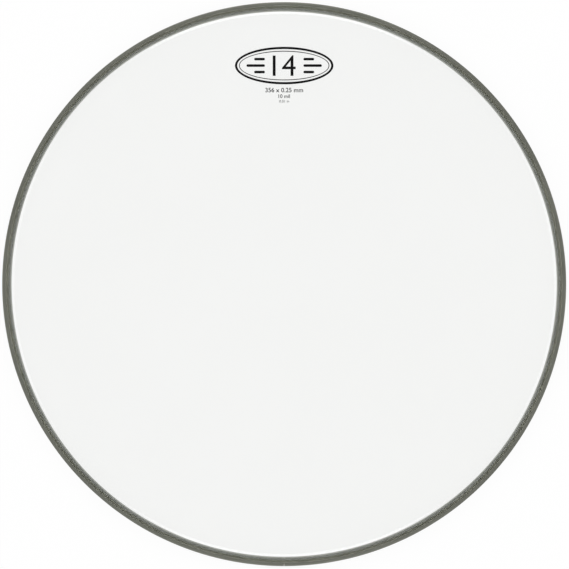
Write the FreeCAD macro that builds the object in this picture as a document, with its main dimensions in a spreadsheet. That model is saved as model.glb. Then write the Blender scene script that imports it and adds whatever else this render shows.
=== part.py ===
import FreeCAD, Part
import math
import os
from enum import IntEnum

import Sketcher
from FreeCAD import Vector

# A clear head for a fourteen inch drum, lying with its playing face up.
#
# Three pieces make it. A channel of aluminium section is rolled into a ring, the flesh hoop, with a
# lip over part of its open top and a butt seam where its two ends meet. A sheet of polyester film is
# formed into a shallow cap: a flat playing face, a crown that goes over the shell's bearing edge and
# a collar that slopes down into the channel and ends in a skirt, punched with a row of slots. Epoxy
# resin is cast round the skirt. It runs through the slots, so the set ring of resin holds the film by
# its bridges and is itself held by the lip.
#
# Millimetres, +Z up. The origin is on the head's axis, at the underside of the hoop.

# Driving dimensions: name, value, what it measures. Lengths in millimetres, angles in degrees.
SIZES = (
    ("drum_diameter", 355.6, "outside diameter of the drum shell that the head is made for"),
    ("shell_clearance", 0.7, "gap between that shell and the bore of the hoop"),
    ("hoop_width", 5.4, "channel from bore to outer face"),
    ("hoop_height", 9.5, "channel from underside to top of lip"),
    ("wall_thickness", 0.9, "walls, base and lip of the channel"),
    ("shoulder_chamfer", 0.8, "corner between outer wall and lip"),
    ("base_chamfer", 0.6, "corners between base and walls"),
    ("lip_length", 2.4, "outer face to edge of lip"),
    ("inner_wall_drop", 1.8, "top of lip down to top of inner wall"),
    ("seam_gap", 0.25, "gap between the two ends of the channel"),
    ("film_thickness", 0.254, "single ply of polyester film"),
    ("skirt_gap", 0.7, "outer wall of the channel to the edge of the skirt"),
    ("skirt_foot", 1.1, "floor of the channel up to the edge of the skirt"),
    ("collar_draft", 14.0, "lean of the collar from upright"),
    ("crown_radius", 5.0, "outside radius of the bend from collar to playing face"),
    ("collar_height", 6.5, "top of lip up to playing face"),
    ("perforation_length", 18.0, "slots in the skirt, along it"),
    ("perforation_width", 2.4, "slots in the skirt, up it"),
    ("perforation_pitch", 72.0, "slot to slot round the skirt, about"),
    ("perforation_margin", 1.0, "edge of the skirt up to the slots"),
    ("resin_freeboard", 0.5, "top of inner wall down to the resin"),
)

# Radii from the axis, heights from the underside, and other sizes that follow from the sheet above.
PLACES = (
    ("bore_radius", "Sizes.drum_diameter / 2 + Sizes.shell_clearance"),
    ("outer_radius", "bore_radius + Sizes.hoop_width"),
    ("channel_inner_radius", "bore_radius + Sizes.wall_thickness"),
    ("channel_outer_radius", "outer_radius - Sizes.wall_thickness"),
    ("lip_edge_radius", "outer_radius - Sizes.lip_length"),
    ("lip_underside", "Sizes.hoop_height - Sizes.wall_thickness"),
    ("inner_wall_top", "Sizes.hoop_height - Sizes.inner_wall_drop"),
    ("seam_angle", "Sizes.seam_gap / outer_radius * 180 / pi"),
    ("skirt_radius", "channel_outer_radius - Sizes.skirt_gap"),
    ("skirt_bottom", "Sizes.wall_thickness + Sizes.skirt_foot"),
    ("face_height", "Sizes.hoop_height + Sizes.collar_height"),
    ("perforation_height", "skirt_bottom + Sizes.perforation_margin"),
    ("perforation_count", "floor(2 * pi * skirt_radius / Sizes.perforation_pitch + 0.5)"),
    ("perforation_turn", "180 / perforation_count"),
    ("resin_level", "inner_wall_top - Sizes.resin_freeboard"),
)


class At(IntEnum):
    """The point of a segment that a constraint takes hold of."""

    START = 1
    END = 2
    CENTRE = 3


class Fixed(IntEnum):
    """What every sketch already holds: its origin, with the level axis, and its upright axis."""

    ORIGIN = -1
    UPRIGHT_AXIS = -2


def make_sheets(doc):
    """Writes the driving dimensions and the places that follow from them into two sheets."""
    sizes = doc.addObject("Spreadsheet::Sheet", "Sizes")
    for row, (name, value, meaning) in enumerate(SIZES, start=1):
        sizes.set(f"A{row}", name)
        sizes.set(f"B{row}", str(value))
        sizes.set(f"C{row}", meaning)
        sizes.setAlias(f"B{row}", name)
    places = doc.addObject("Spreadsheet::Sheet", "Places")
    for row, (name, formula) in enumerate(PLACES, start=1):
        places.set(f"A{row}", name)
        places.setAlias(f"B{row}", name)
        places.set(f"B{row}", "=" + formula)
    doc.recompute()
    return sizes, places


def origin_feature(body, role):
    """The plane or axis of a body's own origin that has this role."""
    return next(f for f in body.Origin.OriginFeatures if f.Role == role)


class Outline:
    """A sketch on one of its body's origin planes, with its sizes bound to the sheets."""

    def __init__(self, body, name, plane):
        self.sketch = body.newObject("Sketcher::SketchObject", name)
        self.sketch.AttachmentSupport = [(origin_feature(body, plane), "")]
        self.sketch.MapMode = "FlatFace"

    def line(self, start, end):
        """Adds a straight segment and returns its number."""
        return self.sketch.addGeometry(Part.LineSegment(Vector(*start), Vector(*end)))

    def lines(self, *corners):
        """Adds straight segments from corner to corner, joined, and returns their numbers."""
        numbers = [self.line(*pair) for pair in zip(corners, corners[1:])]
        for first, second in zip(numbers, numbers[1:]):
            self.join("Coincident", first, At.END, second, At.START)
        return numbers

    def arc(self, centre, radius, start, end):
        """Adds an arc, anticlockwise between two angles in degrees, and returns its number."""
        circle = Part.Circle(Vector(*centre), Vector(0, 0, 1), radius)
        angles = (math.radians(start), math.radians(end))
        return self.sketch.addGeometry(Part.ArcOfCircle(circle, *angles))

    def join(self, kind, *where):
        """Adds a constraint with no size, such as Horizontal, Tangent or Coincident."""
        self.sketch.addConstraint(Sketcher.Constraint(kind, *where))

    def level(self, *segments):
        """Lays segments level."""
        for segment in segments:
            self.join("Horizontal", segment)

    def upright(self, *segments):
        """Stands segments upright."""
        for segment in segments:
            self.join("Vertical", segment)

    def size(self, name, formula, kind, *where):
        """Adds a constraint with a size that follows a formula of the sheets."""
        value = self.sketch.evalExpression(formula)
        number = math.radians(value.Value) if kind == "Angle" else value
        index = self.sketch.addConstraint(Sketcher.Constraint(kind, *where, number))
        self.sketch.renameConstraint(index, name)
        self.sketch.setExpression("Constraints." + name, formula)

    def across(self, name, formula, segment, point):
        """Sets a point's distance from the axis."""
        self.size(name, formula, "DistanceX", Fixed.ORIGIN, At.START, segment, point)

    def up(self, name, formula, segment, point):
        """Sets a point's height."""
        self.size(name, formula, "DistanceY", Fixed.ORIGIN, At.START, segment, point)


def revolve(body, outline, name):
    """Turns an outline about the upright axis of its own body."""
    feature = body.newObject("PartDesign::Revolution", name)
    feature.Profile = outline.sketch
    feature.ReferenceAxis = (origin_feature(body, "Z_Axis"), [""])
    feature.Angle = 360
    return feature


def make_flesh_hoop(doc, sizes, places):
    """The channel: inner wall, base, outer wall and lip, with a gap at the seam on -Y."""
    body = doc.addObject("PartDesign::Body", "FleshHoop")
    body.Label = "flesh_hoop"
    bore, outer = places.bore_radius, places.outer_radius
    inner_face, outer_face = places.channel_inner_radius, places.channel_outer_radius
    top, lip_under, wall_top = sizes.hoop_height, places.lip_underside, places.inner_wall_top
    floor_z, lip_edge = sizes.wall_thickness, places.lip_edge_radius
    broken, bevel = sizes.base_chamfer, sizes.shoulder_chamfer

    section = Outline(body, "ChannelSection", "YZ_Plane")
    bore_wall, break_in, base, break_out, outer_wall, shoulder, lip_top, *inside = section.lines(
        (bore, wall_top),
        (bore, broken),
        (bore + broken, 0),
        (outer - broken, 0),
        (outer, broken),
        (outer, top - bevel),
        (outer - bevel, top),
        (lip_edge, top),
        (lip_edge, lip_under),
        (outer_face, lip_under),
        (outer_face, floor_z),
        (inner_face, floor_z),
        (inner_face, wall_top),
        (bore, wall_top),
    )
    lip_end, lip_below, outer_inside, floor, inner_inside, rim = inside
    section.join("Coincident", rim, At.END, bore_wall, At.START)
    section.upright(bore_wall, outer_wall, lip_end, outer_inside, inner_inside)
    section.level(lip_top, lip_below, floor, rim)
    section.join("PointOnObject", base, At.START, Fixed.ORIGIN)
    section.join("PointOnObject", base, At.END, Fixed.ORIGIN)
    section.across("bore", "Places.bore_radius", bore_wall, At.START)
    section.across("outer", "Places.outer_radius", outer_wall, At.START)
    section.across("channel_inner", "Places.channel_inner_radius", inner_inside, At.START)
    section.across("channel_outer", "Places.channel_outer_radius", outer_inside, At.START)
    section.across("lip_edge", "Places.lip_edge_radius", lip_end, At.START)
    section.across("base_inner", "Places.bore_radius + Sizes.base_chamfer", base, At.START)
    section.across("base_outer", "Places.outer_radius - Sizes.base_chamfer", base, At.END)
    section.up("top", "Sizes.hoop_height", lip_top, At.START)
    section.up("lip_under", "Places.lip_underside", lip_below, At.START)
    section.up("wall_top", "Places.inner_wall_top", rim, At.START)
    section.up("floor", "Sizes.wall_thickness", floor, At.START)
    section.up("break_in", "Sizes.base_chamfer", break_in, At.START)
    section.up("break_out", "Sizes.base_chamfer", break_out, At.END)
    section.up("shoulder_low", "Sizes.hoop_height - Sizes.shoulder_chamfer", shoulder, At.START)
    section.across("shoulder_high", "Places.outer_radius - Sizes.shoulder_chamfer", shoulder, At.END)

    ring = revolve(body, section, "ChannelRing")
    ring.Midplane = True
    ring.setExpression("Angle", "(360 - Places.seam_angle) * 1 deg")
    return body


def make_film(doc, sizes, places):
    """The formed film: playing face, crown, sloping collar and slotted skirt, one ply throughout."""
    body = doc.addObject("PartDesign::Body", "Film")
    body.Label = "film"
    ply, crown, draft = sizes.film_thickness, sizes.crown_radius, sizes.collar_draft
    top, under, foot = places.face_height, places.face_height - ply, places.skirt_bottom
    lean = Vector(math.cos(math.radians(draft)), math.sin(math.radians(draft)), 0)
    foot_out = places.skirt_radius
    foot_in = foot_out - ply / lean.x
    crown_z = top - crown
    flat = foot_out - (crown_z + crown * lean.y - foot) * lean.y / lean.x - crown * lean.x
    crown_centre = Vector(flat, crown_z, 0)

    section = Outline(body, "FilmSection", "YZ_Plane")
    face = section.line((0, top), (flat, top))
    crown_out = section.arc(crown_centre, crown, draft, 90)
    collar_out = section.line((foot_out, foot), crown_centre + lean * crown)
    edge = section.line((foot_out, foot), (foot_in, foot))
    collar_in = section.line((foot_in, foot), crown_centre + lean * (crown - ply))
    crown_in = section.arc(crown_centre, crown - ply, draft, 90)
    underside = section.line((flat, under), (0, under))
    axis = section.line((0, under), (0, top))
    section.join("Tangent", face, At.END, crown_out, At.END)
    section.join("Tangent", crown_out, At.START, collar_out, At.END)
    section.join("Coincident", collar_out, At.START, edge, At.START)
    section.join("Coincident", edge, At.END, collar_in, At.START)
    section.join("Tangent", collar_in, At.END, crown_in, At.START)
    section.join("Tangent", crown_in, At.END, underside, At.START)
    section.join("Coincident", underside, At.END, axis, At.START)
    section.join("Coincident", axis, At.END, face, At.START)
    section.join("Coincident", crown_out, At.CENTRE, crown_in, At.CENTRE)
    section.join("Parallel", collar_out, collar_in)
    section.join("PointOnObject", axis, At.START, Fixed.UPRIGHT_AXIS)
    section.join("PointOnObject", axis, At.END, Fixed.UPRIGHT_AXIS)
    section.level(face, edge, underside)
    section.up("face", "Places.face_height", face, At.END)
    section.up("underside", "Places.face_height - Sizes.film_thickness", underside, At.START)
    section.up("foot", "Places.skirt_bottom", edge, At.START)
    section.across("skirt", "Places.skirt_radius", edge, At.START)
    section.size("crown", "Sizes.crown_radius", "Radius", crown_out)
    section.size("draft", "(90 + Sizes.collar_draft) * 1 deg", "Angle", collar_out)
    cap = revolve(body, section, "FilmCap")
    doc.recompute()
    whole = cap.Shape.Volume

    # The first slot stands half a pitch from +Y and is punched outwards from the channel's inner wall.
    turn = "Places.perforation_turn * 1 deg"
    half, width, low = sizes.perforation_length / 2, sizes.perforation_width, places.perforation_height
    mark = Outline(body, "PerforationMark", "XZ_Plane")
    mark.sketch.AttachmentOffset = FreeCAD.Placement(Vector(), FreeCAD.Rotation(Vector(0, 1, 0), 1))
    mark.sketch.setExpression("AttachmentOffset.Rotation.Angle", turn)
    mark.sketch.setExpression("AttachmentOffset.Base.x", f"-Places.channel_inner_radius * sin({turn})")
    mark.sketch.setExpression("AttachmentOffset.Base.z", f"-Places.channel_inner_radius * cos({turn})")
    bottom, right, ceiling, left = mark.lines(
        (-half, low), (half, low), (half, low + width), (-half, low + width), (-half, low)
    )
    mark.join("Coincident", left, At.END, bottom, At.START)
    mark.level(ceiling)
    mark.upright(right, left)
    mark.join("Symmetric", bottom, At.START, bottom, At.END, Fixed.UPRIGHT_AXIS)
    mark.size("length", "Sizes.perforation_length", "DistanceX", bottom, At.START, bottom, At.END)
    mark.size("width", "Sizes.perforation_width", "DistanceY", right, At.START, right, At.END)
    mark.up("height", "Places.perforation_height", bottom, At.START)
    punch = body.newObject("PartDesign::Pocket", "Perforation")
    punch.Profile = mark.sketch
    punch.Type = "Length"
    punch.setExpression("Length", "Places.channel_outer_radius - Places.channel_inner_radius")
    doc.recompute()
    if punch.Shape.Volume >= whole:
        raise RuntimeError("the perforation misses the skirt")

    row = body.newObject("PartDesign::PolarPattern", "PerforationRow")
    row.Originals = [punch]
    row.Axis = (origin_feature(body, "Z_Axis"), [""])
    row.Angle = 360
    row.setExpression("Occurrences", "Places.perforation_count")
    body.Tip = row
    return body


def make_resin_ring(doc, sizes, places, film):
    """The cast resin: it fills the channel round the skirt, with a bridge through every slot."""
    body = doc.addObject("PartDesign::Body", "ResinFill")
    inner, outer = places.channel_inner_radius, places.channel_outer_radius
    low, high = sizes.wall_thickness, places.resin_level
    section = Outline(body, "ResinSection", "YZ_Plane")
    floor, outer_wall, surface, inner_wall = section.lines(
        (inner, low), (outer, low), (outer, high), (inner, high), (inner, low)
    )
    section.join("Coincident", inner_wall, At.END, floor, At.START)
    section.level(floor, surface)
    section.upright(outer_wall, inner_wall)
    section.across("inner", "Places.channel_inner_radius", floor, At.START)
    section.across("outer", "Places.channel_outer_radius", floor, At.END)
    section.up("floor", "Sizes.wall_thickness", floor, At.START)
    section.up("level", "Places.resin_level", surface, At.START)
    revolve(body, section, "ResinFillRing")

    cast = doc.addObject("Part::Cut", "ResinRing")
    cast.Label = "resin_ring"
    cast.Base = body
    cast.Tool = film
    return cast


def check(doc, pieces):
    """Stops the build if an object failed or a piece isn't one sound solid."""
    for item in doc.Objects:
        if "Invalid" in item.State or "Error" in item.State:
            raise RuntimeError(f"{item.Label} failed: {item.State}")
    for piece in pieces:
        shape = piece.Shape
        if shape.isNull() or not shape.isValid() or len(shape.Solids) != 1:
            raise RuntimeError(f"{piece.Label} is not one sound solid")


def main():
    doc = FreeCAD.newDocument("DrumHead")
    sizes, places = make_sheets(doc)
    hoop = make_flesh_hoop(doc, sizes, places)
    film = make_film(doc, sizes, places)
    resin = make_resin_ring(doc, sizes, places, film)
    doc.recompute()
    pieces = (hoop, film, resin)
    check(doc, pieces)
    os.makedirs("parts", exist_ok=True)
    for piece in pieces:
        piece.Shape.exportStep(f"parts/{piece.Label}.step")
        print(f"{piece.Label}: {piece.Shape.Volume:.1f} mm3, {len(piece.Shape.Faces)} faces")


main()
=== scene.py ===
"""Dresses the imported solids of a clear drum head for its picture.

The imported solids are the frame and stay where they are. Film, flesh hoop and resin are turned again here
from the same sizes, with rounded corners and fine steps, and the ink of the printed mark is laid on the
film. Sections are drawn in millimetres, as radius from the axis and height; meshes are in metres.
"""

import logging
import math
from collections.abc import Sequence
from dataclasses import dataclass, field
from enum import Enum
from typing import ClassVar

import bmesh
import bpy
from mathutils import Matrix, Vector


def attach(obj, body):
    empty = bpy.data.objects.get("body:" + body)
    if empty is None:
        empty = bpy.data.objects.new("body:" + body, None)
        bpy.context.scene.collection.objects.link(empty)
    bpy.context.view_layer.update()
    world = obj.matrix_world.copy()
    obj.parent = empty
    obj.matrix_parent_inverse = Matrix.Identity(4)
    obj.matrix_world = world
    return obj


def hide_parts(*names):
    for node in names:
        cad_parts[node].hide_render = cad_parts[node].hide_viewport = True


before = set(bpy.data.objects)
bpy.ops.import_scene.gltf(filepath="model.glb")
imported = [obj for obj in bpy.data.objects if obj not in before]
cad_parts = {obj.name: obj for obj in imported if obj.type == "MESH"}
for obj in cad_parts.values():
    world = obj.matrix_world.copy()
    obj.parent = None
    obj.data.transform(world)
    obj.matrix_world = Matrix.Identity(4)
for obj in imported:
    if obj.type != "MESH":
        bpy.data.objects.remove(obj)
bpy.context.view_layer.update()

MASK = "mask"
MILLIMETRE = 0.001
PHOTO_PIXELS = 569
WHITE = (1.0, 1.0, 1.0, 1.0)

# A radius in millimetres below which a point counts as on the axis.
ON_AXIS = 1e-9

# Degrees: the direction straight up in a section, and the bend past which an edge stays sharp.
UPRIGHT = 90.0
SHARP_BEND = 32.0

# Numbers of the Mix node's sockets for colours, because other sockets bear the same names.
MIX_SHARE = 0
MIX_FIRST = 6
MIX_SECOND = 7
MIX_RESULT = 2

LOG = logging.getLogger("drum_head")

Point = tuple[float, float]
Pair = tuple[float, float]
Span = tuple[int, int]
Tone = tuple[float, float, float]
Form = bmesh.types.BMesh
Socket = bpy.types.NodeSocket
Feed = Socket | float | tuple[float, ...]
Feeds = dict[str | int, Feed]


class Body(Enum):
    """The bodies of the frame that pieces ride on."""

    ROOT = "root"


class Slot(Enum):
    """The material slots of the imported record."""

    FILM = "film"
    HOOP = "hoop"
    RESIN = "resin"


class Solid(Enum):
    """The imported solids."""

    FILM = "film"
    HOOP = "flesh_hoop"
    RESIN = "resin_ring"


@dataclass(frozen=True)
class HeadSizes:
    """The head's driving sizes, in millimetres and degrees, as in the part's source."""

    drum_diameter: float = 355.6
    shell_clearance: float = 0.7
    hoop_width: float = 5.4
    hoop_height: float = 9.5
    wall_thickness: float = 0.9
    shoulder: float = 0.8
    base_corner: float = 0.6
    lip_length: float = 2.4
    inner_wall_drop: float = 1.8
    seam_gap: float = 0.25
    film_thickness: float = 0.254
    skirt_gap: float = 0.7
    skirt_foot: float = 1.1
    collar_draft: float = 14.0
    crown_radius: float = 5.0
    collar_height: float = 6.5
    slot_length: float = 18.0
    slot_width: float = 2.4
    slot_count: int = 16
    slot_margin: float = 1.0
    resin_freeboard: float = 0.5

    @property
    def bore(self) -> float:
        """Radius of the hoop's bore."""
        return self.drum_diameter / 2 + self.shell_clearance

    @property
    def outside(self) -> float:
        """Radius of the hoop's outer wall."""
        return self.bore + self.hoop_width

    @property
    def channel_inner(self) -> float:
        """Radius of the channel's inner side."""
        return self.bore + self.wall_thickness

    @property
    def channel_outer(self) -> float:
        """Radius of the channel's outer side."""
        return self.outside - self.wall_thickness

    @property
    def inner_wall_top(self) -> float:
        """Height of the inner wall."""
        return self.hoop_height - self.inner_wall_drop

    @property
    def resin_level(self) -> float:
        """Height of the resin in the channel."""
        return self.inner_wall_top - self.resin_freeboard

    @property
    def skirt_radius(self) -> float:
        """Outer radius of the film at the edge of its skirt."""
        return self.channel_outer - self.skirt_gap

    @property
    def skirt_bottom(self) -> float:
        """Height of the edge of the skirt."""
        return self.wall_thickness + self.skirt_foot

    @property
    def face_height(self) -> float:
        """Height of the playing face."""
        return self.hoop_height + self.collar_height

    @property
    def slot_heights(self) -> Pair:
        """Lower and upper edge of the slots in the skirt."""
        low = self.skirt_bottom + self.slot_margin
        return low, low + self.slot_width

    def collar_outer(self, height: float) -> float:
        """Radius of the collar's outer face at a height."""
        lean = math.tan(math.radians(self.collar_draft))
        return self.skirt_radius - (height - self.skirt_bottom) * lean

    def collar_inner(self, height: float) -> float:
        """Radius of the collar's inner face at a height."""
        wall = self.film_thickness / math.cos(math.radians(self.collar_draft))
        return self.collar_outer(height) - wall

    @property
    def crown_centre(self) -> Point:
        """The point that the crown bends round.

        Returns:
            Its radius from the axis and its height.
        """
        draft = math.radians(self.collar_draft)
        height = self.face_height - self.crown_radius
        tangent_height = height + self.crown_radius * math.sin(draft)
        return self.collar_outer(tangent_height) - self.crown_radius * math.cos(draft), height


@dataclass(frozen=True)
class Corner:
    """A corner of a section: its place, the radius that rounds it, and its wear, or painted shade below 0.
    """

    radius: float
    height: float
    bend: float = 0.0
    wear_or_shade: float = 1.0

    def mask(self, share: float, stands_out: bool) -> float:
        """What the finish reads on the bend.

        Args:
            share: how far along the bend, from 0 to 1.
            stands_out: whether the bend stands out of the section.

        Returns:
            An even painted shade, or wear that is most in the middle of a bend that stands out.
        """
        if self.wear_or_shade < 0:
            return self.wear_or_shade
        return self.wear_or_shade * math.sin(math.pi * share) if stands_out else 0.0


@dataclass
class Section:
    """A section's points, anticlockwise, each with a mask: the hoop's wear or painted shade, or the
    resin's painted light.
    """

    points: list[Point] = field(default_factory=list)
    mask: list[float] = field(default_factory=list)

    def add(self, point: Point, mask: float = 0.0) -> int:
        """Adds a point.

        Args:
            point: radius from the axis and height.
            mask: what the finish reads there, from -1 to 1.

        Returns:
            The point's number in the section.
        """
        self.points.append(point)
        self.mask.append(mask)
        return len(self.points) - 1

    def arc(self, centre: Point, radius: float, start: float, end: float, steps: int) -> None:
        """Adds points along an arc, both ends among them.

        Args:
            centre: the point that the arc bends round.
            radius: the arc's radius.
            start: the direction of its first point from the centre, in degrees from outwards.
            end: the direction of its last point.
            steps: how many chords it is divided into.
        """
        for step in range(steps + 1):
            turn = math.radians(start + (end - start) * step / steps)
            self.add((centre[0] + radius * math.cos(turn), centre[1] + radius * math.sin(turn)))

    def round_corner(self, before: Corner, here: Corner, after: Corner, steps: int) -> None:
        """Adds one corner, rounded.

        Args:
            before: the corner before it.
            here: the corner itself.
            after: the corner after it.
            steps: how many chords a bend is divided into.
        """
        if not here.bend:
            self.add((here.radius, here.height))
            return
        corner = Vector((here.radius, here.height))
        back = (Vector((before.radius, before.height)) - corner).normalized()
        ahead = (Vector((after.radius, after.height)) - corner).normalized()
        half = back.angle(ahead) / 2
        centre = corner + (back + ahead).normalized() * (here.bend / math.sin(half))
        first = corner + back * (here.bend / math.tan(half)) - centre
        last = corner + ahead * (here.bend / math.tan(half)) - centre
        turn = math.atan2(first.x * last.y - first.y * last.x, first.dot(last))
        for step in range(steps + 1):
            share = step / steps
            spoke = Matrix.Rotation(turn * share, 2) @ first
            self.add((centre.x + spoke.x, centre.y + spoke.y), here.mask(share, turn > 0))

    def round_corners(self, corners: Sequence[Corner], steps: int) -> None:
        """Adds a whole closed run of corners, each rounded to its own radius.

        Args:
            corners: the corners, anticlockwise.
            steps: how many chords each bend is divided into.
        """
        for number, here in enumerate(corners):
            after = corners[(number + 1) % len(corners)]
            self.round_corner(corners[number - 1], here, after, steps)


@dataclass(frozen=True)
class Windows:
    """Openings punched through a turned skirt, or the bridges that fill them in what is cast round it.

    The sides are numbers of points in the section, and the spans are numbers of stations.
    """

    outer_low: int
    outer_high: int
    inner_low: int
    inner_high: int
    spans: tuple[Span, ...]
    bridges: bool = False

    def opens(self, first: int, second: int) -> bool:
        """True if the run between two neighbouring points of the section is cut by the openings."""
        cut = ({self.outer_low, self.outer_high}, {self.inner_low, self.inner_high})
        return {first, second} in cut

    def holds(self, station: int) -> bool:
        """True if an opening lies between this station and the next."""
        return any(start <= station < end for start, end in self.spans)


@dataclass
class Turning:
    """A section turned round the head's axis, through stations in radians from +X."""

    section: Section
    stations: Sequence[float]
    closed: bool = True
    windows: Windows | None = None

    def mesh(self, name: str) -> bpy.types.Mesh:
        """Makes the turned mesh, smooth but for its sharp edges, with the mask as an attribute.

        Args:
            name: the mesh's name.

        Returns:
            The new mesh, in metres.
        """
        places: list[Vector] = []
        mask: list[float] = []
        rings: list[list[int]] = [[] for _ in self.stations]
        on_axis: dict[int, int] = {}
        for ring, angle in zip(rings, self.stations):
            for number, (radius, height) in enumerate(self.section.points):
                if radius < ON_AXIS and number in on_axis:
                    ring.append(on_axis[number])
                    continue
                if radius < ON_AXIS:
                    on_axis[number] = len(places)
                ring.append(len(places))
                spot = Vector((radius * math.cos(angle), radius * math.sin(angle), height))
                places.append(spot * MILLIMETRE)
                mask.append(self.section.mask[number])
        mesh = bpy.data.meshes.new(name)
        mesh.from_pydata(places, [], self.faces(rings))
        mesh.attributes.new(MASK, "FLOAT", "POINT").data.foreach_set("value", mask)
        mesh.shade_smooth()
        mesh.set_sharp_from_angle(angle=math.radians(SHARP_BEND))
        mesh.validate()
        return mesh

    def faces(self, rings: list[list[int]]) -> list[list[int]]:
        """Works out the faces between neighbouring stations, the window walls and the two ends.

        Args:
            rings: the vertex numbers of the section at each station.

        Returns:
            The faces' vertex numbers, turned outwards.
        """
        count = len(self.section.points)
        made: list[list[int]] = []
        for station in range(len(rings) if self.closed else len(rings) - 1):
            near, far = rings[station], rings[(station + 1) % len(rings)]
            open_here = self.windows is not None and self.windows.holds(station)
            for first in range(count):
                second = (first + 1) % count
                if open_here and self.windows.opens(first, second):
                    continue
                # Corners that meet on the axis are one corner, and a face needs three.
                face = list(dict.fromkeys([near[first], far[first], far[second], near[second]]))
                if len(face) > 2:
                    made.append(face)
        if self.windows is not None:
            made += self.window_walls(rings, self.windows)
        if not self.closed:
            made += [list(rings[0]), list(reversed(rings[-1]))]
        return made

    @staticmethod
    def window_walls(rings: list[list[int]], windows: Windows) -> list[list[int]]:
        """Works out the faces that line the openings.

        Args:
            rings: the vertex numbers of the section at each station.
            windows: the openings.

        Returns:
            The faces' vertex numbers, turned into the openings, or away from them for bridges.
        """
        made: list[list[int]] = []
        outer_low, outer_high = windows.outer_low, windows.outer_high
        inner_low, inner_high = windows.inner_low, windows.inner_high
        for start, end in windows.spans:
            for station in range(start, end):
                near, far = rings[station], rings[(station + 1) % len(rings)]
                made.append([near[outer_low], far[outer_low], far[inner_low], near[inner_low]])
                made.append([near[inner_high], far[inner_high], far[outer_high], near[outer_high]])
            first, last = rings[start], rings[end % len(rings)]
            made.append([first[inner_low], first[inner_high], first[outer_high], first[outer_low]])
            made.append([last[outer_low], last[outer_high], last[inner_high], last[inner_low]])
        return [list(reversed(face)) for face in made] if windows.bridges else made


class Wiring:
    """A node tree while its nodes are placed and joined."""

    def __init__(self, tree: bpy.types.NodeTree) -> None:
        """Takes a tree and empties it."""
        self.tree = tree
        tree.nodes.clear()

    def node(self, kind: str, feeds: Feeds | None = None, **options: object) -> bpy.types.Node:
        """Places a node.

        Args:
            kind: Blender's own name of the node's type.
            feeds: a socket or a plain value for its inputs, by name or number.
            options: settings of the node itself.

        Returns:
            The new node.
        """
        node = self.tree.nodes.new(kind)
        for option, value in options.items():
            setattr(node, option, value)
        for name, value in (feeds or {}).items():
            if isinstance(value, bpy.types.NodeSocket):
                self.tree.links.new(value, node.inputs[name])
            else:
                node.inputs[name].default_value = value
        return node

    def spot(self) -> Socket:
        """Places the piece's own coordinates, in metres, and returns them."""
        return self.node("ShaderNodeTexCoord").outputs["Object"]

    def mask(self) -> Socket:
        """Places the mask that the piece's section gave its mesh and returns it."""
        return self.node("ShaderNodeAttribute", attribute_name=MASK).outputs["Fac"]

    def math(self, operation: str, *feeds: Feed) -> Socket:
        """Places a Math node on these values and returns its result."""
        return self.node("ShaderNodeMath", dict(enumerate(feeds)), operation=operation).outputs[0]

    def times(self, value: Socket, factor: Feed) -> Socket:
        """Returns a value times a factor."""
        return self.math("MULTIPLY", value, factor)

    def ramp(self, value: Socket, start: Feed, rise: float) -> Socket:
        """Returns the start plus the rise times the value."""
        return self.math("MULTIPLY_ADD", value, rise, start)

    def vector(self, operation: str, feeds: Feeds) -> Socket:
        """Places a Vector Math node on these values and returns its vector."""
        return self.node("ShaderNodeVectorMath", feeds, operation=operation).outputs["Vector"]

    def spread(self, value: Socket, low: float, high: float, span: Pair = (0.0, 1.0)) -> Socket:
        """Maps a value smoothly from one range to another.

        Args:
            value: the value to map.
            low: the result at the start of the span and below.
            high: the result at the end of the span and above.
            span: start and end of the value's own range.

        Returns:
            The mapped value.
        """
        feeds = {"Value": value, "From Min": span[0], "From Max": span[1], "To Min": low, "To Max": high}
        return self.node("ShaderNodeMapRange", feeds, interpolation_type="SMOOTHSTEP").outputs["Result"]

    def blend(self, share: Socket, first: Feed, second: Feed) -> Socket:
        """Mixes two colours.

        Args:
            share: how much of the second colour shows, from 0 to 1.
            first: a colour, as a socket or four numbers.
            second: the other colour.

        Returns:
            The mixed colour.
        """
        feeds = {MIX_SHARE: share, MIX_FIRST: first, MIX_SECOND: second}
        return self.node("ShaderNodeMix", feeds, data_type="RGBA", clamp_factor=True).outputs[MIX_RESULT]

    def bump(self, height: Socket, strength: float, depth: float) -> Socket:
        """Places a Bump node.

        Args:
            height: the height over the surface, from 0 to 1.
            strength: how strongly the bump shows.
            depth: how high 1 stands, in metres.

        Returns:
            The bumped normal.
        """
        feeds = {"Height": height, "Strength": strength, "Distance": depth}
        return self.node("ShaderNodeBump", feeds).outputs["Normal"]

    def surface(self, feeds: Feeds) -> Socket:
        """Places a Principled BSDF with these values and returns its shader."""
        return self.node("ShaderNodeBsdfPrincipled", feeds).outputs[0]

    def mix(self, share: Socket, first: Socket, second: Socket) -> Socket:
        """Mixes two shaders.

        Args:
            share: how much of the second shader shows, from 0 to 1.
            first: a shader.
            second: the other shader.

        Returns:
            The mixed shader.
        """
        return self.node("ShaderNodeMixShader", {0: share, 1: first, 2: second}).outputs[0]

    def show(self, shader: Socket) -> None:
        """Sends a shader to the material's output."""
        self.node("ShaderNodeOutputMaterial", {"Surface": shader})


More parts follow.
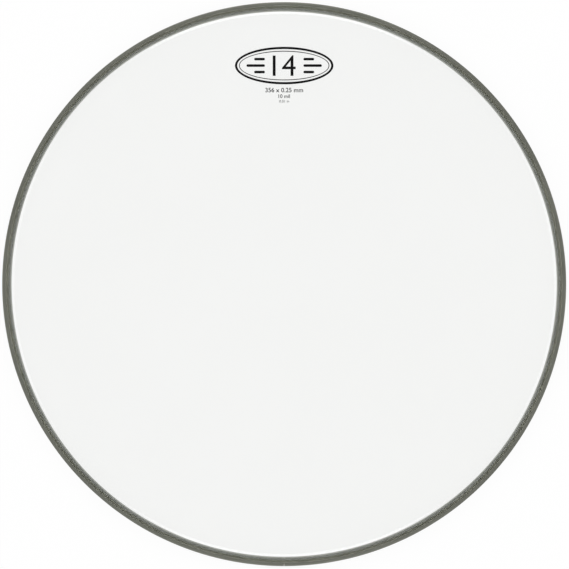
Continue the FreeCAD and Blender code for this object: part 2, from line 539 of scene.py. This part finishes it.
class Effect:
    """A surface effect that several finishes share, as one shader node group."""

    name: ClassVar[str]
    inputs: ClassVar[tuple[str, ...]]
    output: ClassVar[str]

    def wire(self, wiring: Wiring, given: bpy.types.NodeOutputs) -> Socket:
        """Places the effect's nodes.

        Args:
            wiring: the group's tree.
            given: the group's inputs.

        Returns:
            The socket that the group puts out.
        """
        raise NotImplementedError

    def tree(self) -> bpy.types.NodeTree:
        """Builds the group's tree the first time, and finds it after that.

        Returns:
            The group's tree.
        """
        known = bpy.data.node_groups.get(self.name)
        if known is not None:
            return known
        tree = bpy.data.node_groups.new(self.name, "ShaderNodeTree")
        for name in self.inputs:
            tree.interface.new_socket(name=name, in_out="INPUT", socket_type="NodeSocketFloat")
        tree.interface.new_socket(name=self.output, in_out="OUTPUT", socket_type="NodeSocketFloat")
        wiring = Wiring(tree)
        given = wiring.node("NodeGroupInput").outputs
        wiring.node("NodeGroupOutput", {self.output: self.wire(wiring, given)})
        return tree

    def place(self, wiring: Wiring, **values: float) -> Socket:
        """Places the group in a material.

        Args:
            wiring: the material's tree.
            values: the group's inputs for this material, by name.

        Returns:
            The group's output.
        """
        return wiring.node("ShaderNodeGroup", values, node_tree=self.tree()).outputs[self.output]


class TurnedLines(Effect):
    """Fine lines that run round the axis, as rolling, forming and pouring leave them."""

    name = "turned_lines"
    inputs = ("spacing", "streaks")
    output = "lines"
    detail: ClassVar[float] = 3.0
    roughness: ClassVar[float] = 0.6
    contrast: ClassVar[Pair] = (0.3, 0.7)

    def wire(self, wiring: Wiring, given: bpy.types.NodeOutputs) -> Socket:
        """Places noise that is fine across the section and long round the ring.

        Args:
            wiring: the group's tree.
            given: the lines' spacing in metres, and about how many streaks there are in a radian.

        Returns:
            The lines, from 0 to 1.
        """
        spot = wiring.spot()
        level = wiring.vector("MULTIPLY", {0: spot, 1: (1.0, 1.0, 0.0)})
        height = wiring.node("ShaderNodeSeparateXYZ", {0: spot}).outputs["Z"]
        radius = wiring.node("ShaderNodeVectorMath", {0: level}, operation="LENGTH").outputs["Value"]
        heading = wiring.vector("NORMALIZE", {0: level})
        round_ring = wiring.vector("SCALE", {0: heading, "Scale": given["streaks"]})
        outwards = wiring.math("DIVIDE", radius, given["spacing"])
        across = wiring.node("ShaderNodeCombineXYZ", {"Z": outwards}).outputs[0]
        noise = wiring.node("ShaderNodeTexNoise", {
            "Vector": wiring.vector("ADD", {0: round_ring, 1: across}),
            "W": wiring.math("DIVIDE", height, given["spacing"]),
            "Scale": 1.0,
            "Detail": self.detail,
            "Roughness": self.roughness,
        }, noise_dimensions="4D")
        return wiring.spread(noise.outputs[0], 0.0, 1.0, self.contrast)


class Specks(Effect):
    """Scattered round specks: dust on the film, pits in the metal, bubbles in the resin."""

    name = "specks"
    inputs = ("cell", "share", "size")
    output = "specks"
    soft_edge: ClassVar[Pair] = (0.5, 1.0)

    def wire(self, wiring: Wiring, given: bpy.types.NodeOutputs) -> Socket:
        """Places a disc in some of the cells of a Voronoi pattern.

        Args:
            wiring: the group's tree.
            given: the cells' size in metres, the share with a speck, and its largest radius in cells.

        Returns:
            The specks, from 0 to 1.
        """
        density = wiring.math("DIVIDE", 1.0, given["cell"])
        cells = wiring.node("ShaderNodeTexVoronoi", {"Vector": wiring.spot(), "Scale": density})
        chance = wiring.node("ShaderNodeSeparateColor", {0: cells.outputs["Color"]}).outputs
        chosen = wiring.math("LESS_THAN", chance["Red"], given["share"])
        reach = wiring.times(given["size"], chance["Green"])
        nearness = wiring.math("DIVIDE", cells.outputs["Distance"], reach)
        return wiring.times(chosen, wiring.spread(nearness, 1.0, 0.0, self.soft_edge))


class Drift(Effect):
    """A slow, soft change over the surface."""

    name = "drift"
    inputs = ("length",)
    output = "drift"
    detail: ClassVar[float] = 3.0
    contrast: ClassVar[Pair] = (0.32, 0.68)

    def wire(self, wiring: Wiring, given: bpy.types.NodeOutputs) -> Socket:
        """Places broad noise.

        Args:
            wiring: the group's tree.
            given: the length over which the surface changes, in metres.

        Returns:
            The drift, from 0 to 1.
        """
        density = wiring.math("DIVIDE", 1.0, given["length"])
        feeds = {"Vector": wiring.spot(), "Scale": density, "Detail": self.detail}
        noise = wiring.node("ShaderNodeTexNoise", feeds)
        return wiring.spread(noise.outputs[0], 0.0, 1.0, self.contrast)


LINES = TurnedLines()
SPECKS = Specks()
DRIFT = Drift()


def opaque(tone: Sequence[float]) -> tuple[float, float, float, float]:
    """A colour as Blender's colour sockets take it, opaque."""
    return tone[0], tone[1], tone[2], 1.0


class Finish:
    """A finish that can be put on a piece."""

    name: ClassVar[str]

    def wire(self, wiring: Wiring) -> Socket:
        """Places the finish's nodes and returns its shader."""
        raise NotImplementedError

    def coat(self, piece: bpy.types.Object) -> None:
        """Makes the material and puts it on a piece.

        Args:
            piece: the piece, with its mesh.
        """
        material = bpy.data.materials.new(self.name)
        material.use_nodes = True
        wiring = Wiring(material.node_tree)
        wiring.show(self.wire(wiring))
        piece.data.materials.append(material)


@dataclass(frozen=True)
class ClearFilm(Finish):
    """Clear polyester film: dulled gloss on both faces, a trace of haze and a little dust."""

    name = "clear_polyester_film"
    index: float = 1.5
    haze: float = 0.038
    unevenness: float = 0.003
    dust_cover: float = 0.22
    tone: Tone = (0.263, 0.347, 0.21)
    lint: Tone = (0.30, 0.31, 0.29)
    haze_roughness: float = 0.75
    gloss_roughness: float = 0.035

    def wire(self, wiring: Wiring) -> Socket:
        """Places a hazy, see-through sheet under a gloss that grows towards grazing view.

        Args:
            wiring: the material's tree.

        Returns:
            The film's shader.
        """
        drift = DRIFT.place(wiring, length=0.06)
        dust = SPECKS.place(wiring, cell=0.004, share=0.16, size=0.06)
        veil = wiring.ramp(drift, start=self.haze, rise=self.unevenness)
        sheet = wiring.surface({
            "Base Color": wiring.blend(dust, opaque(self.tone), opaque(self.lint)),
            "Roughness": self.haze_roughness,
            "Specular IOR Level": 0.0,
            "Alpha": wiring.ramp(dust, start=veil, rise=self.dust_cover),
        })
        mirror = wiring.surface({
            "Base Color": WHITE,
            "Metallic": 1.0,
            "Roughness": self.gloss_roughness,
            "Normal": wiring.bump(drift, strength=0.15, depth=0.0002),
        })
        # From inside the sheet the index turns over.
        behind = wiring.node("ShaderNodeNewGeometry").outputs["Backfacing"]
        index = wiring.spread(behind, self.index, 1.0 / self.index)
        rise = wiring.node("ShaderNodeFresnel", {"IOR": index}).outputs[0]
        return wiring.mix(rise, sheet, mirror)


@dataclass(frozen=True)
class SatinAluminium(Finish):
    """Mill-finish aluminium, dull from handling, with draw lines, bright worn corners, and painted shade
    on the shoulder and on the rim inside the channel.
    """

    name = "satin_aluminium"
    dark: Tone = (0.168, 0.172, 0.146)
    light: Tone = (0.208, 0.212, 0.182)
    bright: Tone = (0.27, 0.27, 0.242)
    pitted: Tone = (0.09, 0.09, 0.078)
    # Painted shade: a near-black tone laid where the mask is below 0.
    painted_shade: Tone = (0.032, 0.033, 0.022)
    line_share: float = 0.6
    drift_share: float = 0.4
    pit_cover: float = 0.5

    def wire(self, wiring: Wiring) -> Socket:
        """Places metal with drawn lines, small pits, worn corners and painted shade.

        Args:
            wiring: the material's tree.

        Returns:
            The metal's shader.
        """
        lines = LINES.place(wiring, spacing=0.00022, streaks=14.0)
        drift = DRIFT.place(wiring, length=0.03)
        pits = SPECKS.place(wiring, cell=0.0016, share=0.10, size=0.09)
        mask = wiring.mask()
        worn = wiring.math("MAXIMUM", mask, 0.0)
        # Painted shade where the mask is below 0, on the shoulder and on the rim inside the channel.
        shaded = wiring.math("MAXIMUM", wiring.times(mask, -1.0), 0.0)
        drawn = wiring.ramp(lines, start=wiring.times(drift, self.drift_share), rise=self.line_share)
        rubbed = wiring.times(worn, wiring.spread(drift, low=0.35, high=0.9))
        metal = wiring.blend(drawn, opaque(self.dark), opaque(self.light))
        metal = wiring.blend(rubbed, metal, opaque(self.bright))
        metal = wiring.blend(wiring.times(pits, self.pit_cover), metal, opaque(self.pitted))
        metal = wiring.blend(shaded, metal, opaque(self.painted_shade))
        rough = wiring.ramp(lines, start=0.33, rise=0.12)
        relief = wiring.math("SUBTRACT", lines, pits)
        return wiring.surface({
            "Base Color": metal,
            "Metallic": 1.0,
            "Roughness": wiring.ramp(worn, start=rough, rise=-0.07),
            "Normal": wiring.bump(relief, strength=0.3, depth=0.00003),
        })


@dataclass(frozen=True)
class CastResin(Finish):
    """Cast epoxy, olive and dulled, with fine bubbles, pale by painted light in its pools and dark by
    painted shade against the hoop's inner wall.
    """

    name = "cast_olive_resin"
    # Painted shade: the dark tone where the mask is 0, against the hoop's inner wall.
    shade_tone: Tone = (0.02, 0.021, 0.012)
    # Painted light: the pale tone that lifts the pools out of the shade of the lip and collar.
    paler: Tone = (0.55, 0.557, 0.46)
    bubble: Tone = (0.50, 0.50, 0.43)
    even_painted_light: float = 0.82
    line_painted_light: float = 0.08
    drift_painted_light: float = 0.1
    bubble_cover: float = 0.1
    index: float = 1.55
    shine: float = 0.25

    def wire(self, wiring: Wiring) -> Socket:
        """Places a casting that is dark or pale by the painted light mask, with bubbles near its surface.

        Args:
            wiring: the material's tree.

        Returns:
            The resin's shader.
        """
        lines = LINES.place(wiring, spacing=0.0006, streaks=22.0)
        drift = DRIFT.place(wiring, length=0.012)
        bubbles = SPECKS.place(wiring, cell=0.0011, share=0.28, size=0.22)
        clouds = wiring.times(drift, self.drift_painted_light)
        flow = wiring.ramp(lines, start=clouds, rise=self.line_painted_light)
        # Painted light and shade: the mask lifts the pools to the pale tone and leaves the resin dark
        # against the inner wall.
        painted_light = wiring.times(wiring.mask(), wiring.math("ADD", flow, self.even_painted_light))
        body = wiring.blend(painted_light, opaque(self.shade_tone), opaque(self.paler))
        body = wiring.blend(wiring.times(bubbles, self.bubble_cover), body, opaque(self.bubble))
        relief = wiring.ramp(drift, start=bubbles, rise=0.5)
        return wiring.surface({
            "Base Color": body,
            "Roughness": wiring.ramp(drift, start=0.16, rise=0.14),
            "IOR": self.index,
            "Specular IOR Level": self.shine,
            "Normal": wiring.bump(relief, strength=0.08, depth=0.00006),
        })


@dataclass(frozen=True)
class ScreenInk(Finish):
    """Black screen ink: satin, with the faint tooth of the mesh that it was pressed through."""

    name = "black_screen_ink"
    black: Tone = (0.002, 0.002, 0.0022)
    paler: Tone = (0.006, 0.006, 0.0063)
    unevenness: float = 0.8
    shine: float = 0.08

    def wire(self, wiring: Wiring) -> Socket:
        """Places near-black ink that is a little uneven.

        Args:
            wiring: the material's tree.

        Returns:
            The ink's shader.
        """
        drift = DRIFT.place(wiring, length=0.006)
        tooth = SPECKS.place(wiring, cell=0.0003, share=0.5, size=0.7)
        thinness = wiring.times(drift, self.unevenness)
        return wiring.surface({
            "Base Color": wiring.blend(thinness, opaque(self.black), opaque(self.paler)),
            "Roughness": wiring.ramp(drift, start=0.4, rise=0.15),
            "Specular IOR Level": self.shine,
            "Normal": wiring.bump(tooth, strength=0.2, depth=0.00001),
        })


def new_piece(name: str, data: bpy.types.Mesh | bpy.types.Curve) -> bpy.types.Object:
    """Makes an object and links it to the scene.

    Args:
        name: the object's name.
        data: its mesh or curve.

    Returns:
        The new object.
    """
    piece = bpy.data.objects.new(name, data)
    bpy.context.scene.collection.objects.link(piece)
    return piece


def finished_piece(
    mesh: bpy.types.Mesh,
    finish: Finish,
    replaced: Solid | None = None,
) -> bpy.types.Object:
    """Makes a piece of a mesh, dresses it and hands it to the frame.

    Args:
        mesh: the piece's mesh, in place, whose name the piece takes.
        finish: what it is dressed in.
        replaced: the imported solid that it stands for.

    Returns:
        The finished piece.
    """
    piece = new_piece(mesh.name, mesh)
    finish.coat(piece)
    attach(piece, Body.ROOT.value)
    if replaced is not None:
        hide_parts(replaced.value)
    return piece


@dataclass
class SkirtStations:
    """The directions round the axis at which film and resin are drawn, the slots' edges among them."""

    sizes: HeadSizes
    steps_in_slot: int = 12
    steps_between: int = 34

    def angles(self) -> list[float]:
        """Works out the directions, slot by slot.

        Returns:
            The directions in radians from +X.
        """
        pitch = math.tau / self.sizes.slot_count
        middle = self.sizes.collar_outer(sum(self.sizes.slot_heights) / 2)
        opening = 2 * math.asin(self.sizes.slot_length / 2 / middle)
        slot_step = opening / self.steps_in_slot
        bridge_step = (pitch - opening) / self.steps_between
        found: list[float] = []
        for number in range(self.sizes.slot_count):
            start = math.pi / 2 + pitch * (number + 0.5) - opening / 2
            end = start + opening
            found += [start + slot_step * step for step in range(self.steps_in_slot)]
            found += [end + bridge_step * step for step in range(self.steps_between)]
        return found

    def spans(self) -> tuple[Span, ...]:
        """Works out where the slots are among the stations.

        Returns:
            The first and last station of each slot.
        """
        cycle = self.steps_in_slot + self.steps_between
        starts = [cycle * number for number in range(self.sizes.slot_count)]
        return tuple((start, start + self.steps_in_slot) for start in starts)


@dataclass
class FilmCap:
    """The film: playing face, crown, collar and slotted skirt, as one sheet of even thickness."""

    sizes: HeadSizes
    stations: SkirtStations
    finish: ClearFilm = ClearFilm()
    crown_steps: int = 18
    face_rings: tuple[float, ...] = (172.0, 150.0, 110.0, 60.0)

    def build(self) -> bpy.types.Object:
        """Turns the film and dresses it.

        Returns:
            The finished piece.
        """
        sizes = self.sizes
        low, high = sizes.slot_heights
        underside = sizes.face_height - sizes.film_thickness
        centre, draft = sizes.crown_centre, sizes.collar_draft
        section = Section()
        section.add((0.0, underside))
        for ring in reversed(self.face_rings):
            section.add((ring, underside))
        bend = sizes.crown_radius - sizes.film_thickness
        section.arc(centre, bend, UPRIGHT, draft, self.crown_steps)
        inner_high = section.add((sizes.collar_inner(high), high))
        inner_low = section.add((sizes.collar_inner(low), low))
        section.add((sizes.collar_inner(sizes.skirt_bottom), sizes.skirt_bottom))
        section.add((sizes.skirt_radius, sizes.skirt_bottom))
        outer_low = section.add((sizes.collar_outer(low), low))
        outer_high = section.add((sizes.collar_outer(high), high))
        section.arc(centre, sizes.crown_radius, draft, UPRIGHT, self.crown_steps)
        for ring in self.face_rings:
            section.add((ring, sizes.face_height))
        section.add((0.0, sizes.face_height))
        windows = Windows(outer_low, outer_high, inner_low, inner_high, self.stations.spans())
        turning = Turning(section, self.stations.angles(), windows=windows)
        return finished_piece(turning.mesh("clear_film"), self.finish, Solid.FILM)


@dataclass
class FleshHoop:
    """The hoop: a lipped channel rolled into a ring, with a butt seam on the side away from the mark."""

    sizes: HeadSizes
    finish: SatinAluminium = SatinAluminium()
    segments: int = 720
    bend_steps: int = 7
    lip_bend: float = 0.25
    rim_bend: float = 0.3
    inside_bend: float = 0.35
    # Painted shade: darkens the shoulder, fading down the outer wall and across the lip.
    shoulder_painted_shade: float = 0.12
    # Painted shade: darkens the rim's corner on the channel side, fading down into the channel and across
    # the rim.
    rim_painted_shade: float = 1.0
    rim_wear: float = 0.6

    def build(self) -> bpy.types.Object:
        """Turns the channel and dresses it.

        Returns:
            The finished piece.
        """
        sizes = self.sizes
        bore, outside = sizes.bore, sizes.outside
        inner, outer = sizes.channel_inner, sizes.channel_outer
        top, floor = sizes.hoop_height, sizes.wall_thickness
        lip_edge = outside - sizes.lip_length
        section = Section()
        section.round_corners((
            Corner(bore, 0.0, sizes.base_corner),
            Corner(outside, 0.0, sizes.base_corner),
            Corner(outside, top, sizes.shoulder, wear_or_shade=-self.shoulder_painted_shade),
            Corner(lip_edge, top, self.lip_bend),
            Corner(lip_edge, top - sizes.wall_thickness, self.lip_bend),
            Corner(outer, top - sizes.wall_thickness, self.inside_bend),
            Corner(outer, floor, self.inside_bend),
            Corner(inner, floor, self.inside_bend),
            Corner(inner, sizes.inner_wall_top, self.rim_bend, wear_or_shade=-self.rim_painted_shade),
            Corner(bore, sizes.inner_wall_top, self.rim_bend, wear_or_shade=self.rim_wear),
        ), self.bend_steps)
        gap = sizes.seam_gap / outside
        start = -math.pi / 2 + gap / 2
        step = (math.tau - gap) / self.segments
        stations = [start + step * number for number in range(self.segments + 1)]
        turning = Turning(section, stations, closed=False)
        return finished_piece(turning.mesh("rolled_flesh_hoop"), self.finish, Solid.HOOP)


@dataclass
class ResinRing:
    """The resin: it fills the channel round the skirt and creeps a little up what it touches."""

    sizes: HeadSizes
    stations: SkirtStations
    finish: CastResin = CastResin()
    creep: float = 0.22
    creep_reach: float = 0.3
    dip: float = 0.06
    pool_steps: int = 8
    # Painted light in each pool, at its outer and at its inner wall; 0 is painted shade.
    outer_painted_light: Pair = (1.0, 1.0)
    inner_painted_light: Pair = (1.0, 0.0)
    painted_light_fall: float = 3.0

    def level(self, radius: float, inner: float, outer: float) -> float:
        """Height of the resin between two walls.

        Args:
            radius: where the height is wanted.
            inner: radius of the inner wall.
            outer: radius of the outer wall.

        Returns:
            The height, raised near both walls.
        """
        at_inner = math.exp((inner - radius) / self.creep_reach)
        at_outer = math.exp((radius - outer) / self.creep_reach)
        return self.sizes.resin_level - self.dip + self.creep * (at_inner + at_outer)

    def pool(self, section: Section, inner: float, outer: float, painted_light: Pair) -> None:
        """Adds the resin's surface between two walls, from the outer to the inner one.

        Args:
            section: the section to add to.
            inner: radius of the inner wall.
            outer: radius of the outer wall.
            painted_light: how much painted light the resin has at the outer and at the inner wall, from 0
                to 1, where 0 leaves it in painted shade.
        """
        for step in range(self.pool_steps + 1):
            share = (1 - math.cos(math.pi * step / self.pool_steps)) / 2
            radius = outer + (inner - outer) * share
            # Painted light fades to painted shade towards the wall that has less of it.
            lit_share = painted_light[1] + (painted_light[0] - painted_light[1]) * (1 - share) ** self.painted_light_fall
            section.add((radius, self.level(radius, inner, outer)), lit_share)

    def build(self) -> bpy.types.Object:
        """Turns the resin and dresses it.

        Returns:
            The finished piece.
        """
        sizes = self.sizes
        low, high = sizes.slot_heights
        floor, level = sizes.wall_thickness, sizes.resin_level
        section = Section()
        section.add((sizes.channel_inner, floor))
        section.add((sizes.channel_outer, floor))
        self.pool(section, sizes.collar_outer(level), sizes.channel_outer, self.outer_painted_light)
        outer_high = section.add((sizes.collar_outer(high), high))
        outer_low = section.add((sizes.collar_outer(low), low))
        section.add((sizes.skirt_radius, sizes.skirt_bottom))
        section.add((sizes.collar_inner(sizes.skirt_bottom), sizes.skirt_bottom))
        inner_low = section.add((sizes.collar_inner(low), low))
        inner_high = section.add((sizes.collar_inner(high), high))
        self.pool(section, sizes.channel_inner, sizes.collar_inner(level), self.inner_painted_light)
        spans = self.stations.spans()
        windows = Windows(outer_low, outer_high, inner_low, inner_high, spans, bridges=True)
        turning = Turning(section, self.stations.angles(), windows=windows)
        return finished_piece(turning.mesh("cast_resin_ring"), self.finish, Solid.RESIN)


@dataclass(frozen=True)
class NumberLine:
    """A line of plain numbers in the mark: its text, the figures' height, its middle and its weight."""

    text: str
    height: float
    middle: Point
    boldness: float = 0.0


@dataclass
class PrintedMark:
    """The mark on the film: a plain oval with the head's size in it, and small figures below.

    It is drawn round its own middle, in millimetres, and the bars are listed from the top one down.
    """

    sizes: HeadSizes
    finish: ScreenInk = ScreenInk()
    middle: float = 142.0
    oval: Pair = (64.0, 24.4)
    oval_steps: int = 160
    rules: tuple[Pair, ...] = ((0.0, 1.5), (2.6, 0.55))
    bar_spacing: float = 4.2
    bar_start: float = 12.5
    bar_ends: tuple[float, ...] = (19.5, 24.5, 19.5)
    bar_width: float = 1.7
    bar_steps: int = 12
    middle_bar: int = 1
    figure_steps: int = 8
    merge_distance: float = 0.001
    ink_depth: float = 0.012
    lines: tuple[NumberLine, ...] = (
        NumberLine("14", 13.4, (0.0, 0.0)),
        NumberLine("356 x 0.25 mm", 3.0, (0.0, -15.9), boldness=0.014),
        NumberLine("10 mil", 2.4, (0.0, -19.9), boldness=0.014),
        NumberLine("0.01 in", 1.7, (0.0, -23.2)),
    )

    def slab(self, form: Form, outline: Sequence[Point], hole: Sequence[Point] = ()) -> None:
        """Adds a flat slab of ink to the mark.

        Args:
            form: the mark's mesh.
            outline: the slab's outline, anticlockwise, from the middle of the mark.
            hole: the outline of a hole in it, with as many points.
        """
        low, high = -self.ink_depth, self.ink_depth
        edge = [[form.verts.new((x, y, z)) for x, y in outline] for z in (low, high)]
        if not hole:
            form.faces.new(edge[1])
            form.faces.new(list(reversed(edge[0])))
        bore = [[form.verts.new((x, y, z)) for x, y in hole] for z in (low, high)]
        for number in range(len(outline)):
            after = (number + 1) % len(outline)
            form.faces.new((edge[0][number], edge[0][after], edge[1][after], edge[1][number]))
            if hole:
                form.faces.new((bore[0][after], bore[0][number], bore[1][number], bore[1][after]))
                form.faces.new((edge[1][number], edge[1][after], bore[1][after], bore[1][number]))
                form.faces.new((edge[0][after], edge[0][number], bore[0][number], bore[0][after]))

    def ellipse(self, inset: float) -> list[Point]:
        """Works out the oval's outline.

        Args:
            inset: how far it is drawn in.

        Returns:
            The outline, anticlockwise.
        """
        across, up = self.oval[0] / 2 - inset, self.oval[1] / 2 - inset
        turns = [math.tau * step / self.oval_steps for step in range(self.oval_steps)]
        return [(across * math.cos(turn), up * math.sin(turn)) for turn in turns]

    def bar(self, height: float, start: float, end: float) -> list[Point]:
        """Works out the outline of a bar with round ends.

        Args:
            height: the bar's middle line.
            start: its left end.
            end: its right end.

        Returns:
            The outline, anticlockwise.
        """
        half = self.bar_width / 2
        turns = [math.pi * (step / self.bar_steps - 0.5) for step in range(self.bar_steps + 1)]
        spokes = [(half * math.cos(turn), half * math.sin(turn)) for turn in turns]
        right = [(end - half + x, height + y) for x, y in spokes]
        left = [(start + half - x, height - y) for x, y in spokes]
        return right + left

    def figures(self, form: Form, line: NumberLine) -> None:
        """Adds a line of numbers to the mark.

        Args:
            form: the mark's mesh.
            line: the numbers, their height and place.
        """
        text = bpy.data.curves.new("figures", "FONT")
        text.body = line.text
        text.offset = line.boldness
        text.resolution_u = self.figure_steps
        # The figures reach 1 up and down here, which the sizing below turns into the ink's depth.
        text.extrude = 1.0
        holder = new_piece("figures", text)
        depsgraph = bpy.context.evaluated_depsgraph_get()
        mesh = bpy.data.meshes.new_from_object(holder.evaluated_get(depsgraph))
        low = Vector([min(vertex.co[axis] for vertex in mesh.vertices) for axis in range(3)])
        high = Vector([max(vertex.co[axis] for vertex in mesh.vertices) for axis in range(3)])
        scale = line.height / (high.y - low.y)
        to_middle = Matrix.Translation(-(low + high) / 2)
        sizing = Matrix.Diagonal((scale, scale, self.ink_depth, 1.0))
        to_place = Matrix.Translation((*line.middle, 0.0))
        mesh.transform(to_place @ sizing @ to_middle)
        form.from_mesh(mesh)
        bpy.data.objects.remove(holder)
        bpy.data.curves.remove(text)
        bpy.data.meshes.remove(mesh)

    def build(self) -> bpy.types.Object:
        """Draws the mark on the film and dresses it.

        Returns:
            The finished piece.
        """
        form = bmesh.new()
        for inset, width in self.rules:
            self.slab(form, self.ellipse(inset), self.ellipse(inset + width))
        for number, end in enumerate(self.bar_ends):
            height = self.bar_spacing * (self.middle_bar - number)
            self.slab(form, self.bar(height, self.bar_start, end))
            self.slab(form, self.bar(height, -end, -self.bar_start))
        for line in self.lines:
            self.figures(form, line)
        bmesh.ops.remove_doubles(form, verts=form.verts, dist=self.merge_distance)
        bmesh.ops.translate(form, vec=(0.0, self.middle, self.sizes.face_height), verts=form.verts)
        bmesh.ops.scale(form, vec=(MILLIMETRE,) * 3, verts=form.verts)
        mesh = bpy.data.meshes.new("printed_mark")
        form.to_mesh(mesh)
        form.free()
        return finished_piece(mesh, self.finish)


@dataclass(frozen=True)
class Lamp:
    """A soft square lamp that looks at the head: its place and side in metres, its power in watts."""

    name: str
    place: tuple[float, float, float]
    side: float
    power: float

    def build(self) -> None:
        """Hangs the lamp, turned to the head."""
        data = bpy.data.lights.new(self.name, "AREA")
        data.shape = "SQUARE"
        data.size = self.side
        data.energy = self.power
        lamp = bpy.data.objects.new(self.name, data)
        lamp.location = self.place
        lamp.rotation_euler = (-Vector(self.place)).to_track_quat("-Z", "Y").to_euler()
        lamp.visible_camera = False
        bpy.context.scene.collection.objects.link(lamp)


@dataclass
class Studio:
    """A white floor that runs out to a white horizon, under a grey tent with four soft lamps.

    Lengths are in metres. In the photo the hoop's radius is hoop_pixels and its middle is centre_pixels.
    """

    sizes: HeadSizes
    floor_side: float = 30.0
    floor_drop: float = 0.00004
    floor_tone: float = 0.95
    floor_white: float = 0.94
    horizon: float = 1.0
    tent: float = 0.58
    horizon_band: Pair = (0.05, 0.30)
    lamps: tuple[Lamp, ...] = (
        Lamp("near_lamp", (0.0, -1.25, 1.45), 1.3, 7.2),
        Lamp("far_lamp", (0.0, 1.25, 1.45), 1.2, 7.6),
        Lamp("right_lamp", (1.25, 0.0, 1.45), 1.2, 3.8),
        Lamp("left_lamp", (-1.25, 0.0, 1.45), 1.2, 3.8),
    )
    camera_height: float = 2.0
    sensor_millimetres: float = 36.0
    hoop_pixels: float = 282.0
    centre_pixels: Point = (283.68, 283.62)

    def floor(self) -> None:
        """Lays the floor: white to sight and in reflections, yet with the head's shadow on it."""
        half = self.floor_side / 2
        mesh = bpy.data.meshes.new("white_floor")
        plan = ((-half, -half), (half, -half), (half, half), (-half, half))
        mesh.from_pydata([(x, y, -self.floor_drop) for x, y in plan], [], [(0, 1, 2, 3)])
        floor = new_piece("white_floor", mesh)
        material = bpy.data.materials.new("white_floor")
        material.use_nodes = True
        wiring = Wiring(material.node_tree)
        path = wiring.node("ShaderNodeLightPath").outputs
        seen = wiring.math("MAXIMUM", path["Is Camera Ray"], path["Is Glossy Ray"])
        seen = wiring.math("MAXIMUM", seen, path["Is Transmission Ray"])
        paint = wiring.node("ShaderNodeBsdfDiffuse", {"Color": opaque((self.floor_tone,) * 3)})
        white = wiring.node("ShaderNodeEmission", {"Color": WHITE, "Strength": 1.0})
        share = wiring.times(seen, self.floor_white)
        wiring.show(wiring.mix(share, paint.outputs[0], white.outputs[0]))
        floor.data.materials.append(material)

    def light(self) -> None:
        """Puts up the tent and the lamps."""
        world = bpy.data.worlds.new("grey_tent")
        world.use_nodes = True
        bpy.context.scene.world = world
        wiring = Wiring(world.node_tree)
        heading = wiring.node("ShaderNodeTexCoord").outputs["Generated"]
        upward = wiring.node("ShaderNodeSeparateXYZ", {0: heading}).outputs["Z"]
        level = wiring.spread(upward, self.horizon, self.tent, self.horizon_band)
        glow = wiring.node("ShaderNodeBackground", {"Color": WHITE, "Strength": level})
        wiring.node("ShaderNodeOutputWorld", {"Surface": glow.outputs[0]})
        for lamp in self.lamps:
            lamp.build()

    def camera(self) -> None:
        """Hangs the camera straight above the head, with +Y up in the picture."""
        data = bpy.data.cameras.new("camera_above")
        widest = self.sizes.hoop_height - self.sizes.shoulder
        distance = self.camera_height - widest * MILLIMETRE
        pixel = self.sizes.outside * MILLIMETRE / self.hoop_pixels
        data.sensor_width = self.sensor_millimetres
        data.lens = data.sensor_width * distance / (pixel * PHOTO_PIXELS)
        camera = bpy.data.objects.new("camera_above", data)
        middle = (PHOTO_PIXELS - 1) / 2
        aside = (middle - self.centre_pixels[0]) * pixel
        down = (middle - self.centre_pixels[1]) * pixel
        camera.location = (aside, -down, self.camera_height)
        bpy.context.scene.collection.objects.link(camera)
        bpy.context.scene.camera = camera

    def build(self) -> None:
        """Sets the whole stage."""
        bpy.context.scene.view_settings.view_transform = "Standard"
        self.camera()
        self.floor()
        self.light()


def main() -> None:
    """Builds the stage and the head's pieces in order, and reports each."""
    logging.basicConfig(level=logging.INFO, format="%(name)s: %(message)s")
    sizes = HeadSizes()
    Studio(sizes).build()
    stations = SkirtStations(sizes)
    pieces = (FleshHoop(sizes), ResinRing(sizes, stations), FilmCap(sizes, stations), PrintedMark(sizes))
    for piece in pieces:
        made = piece.build()
        LOG.info("%s: %d faces", made.name, len(made.data.polygons))


if __name__ == "__main__":
    main()
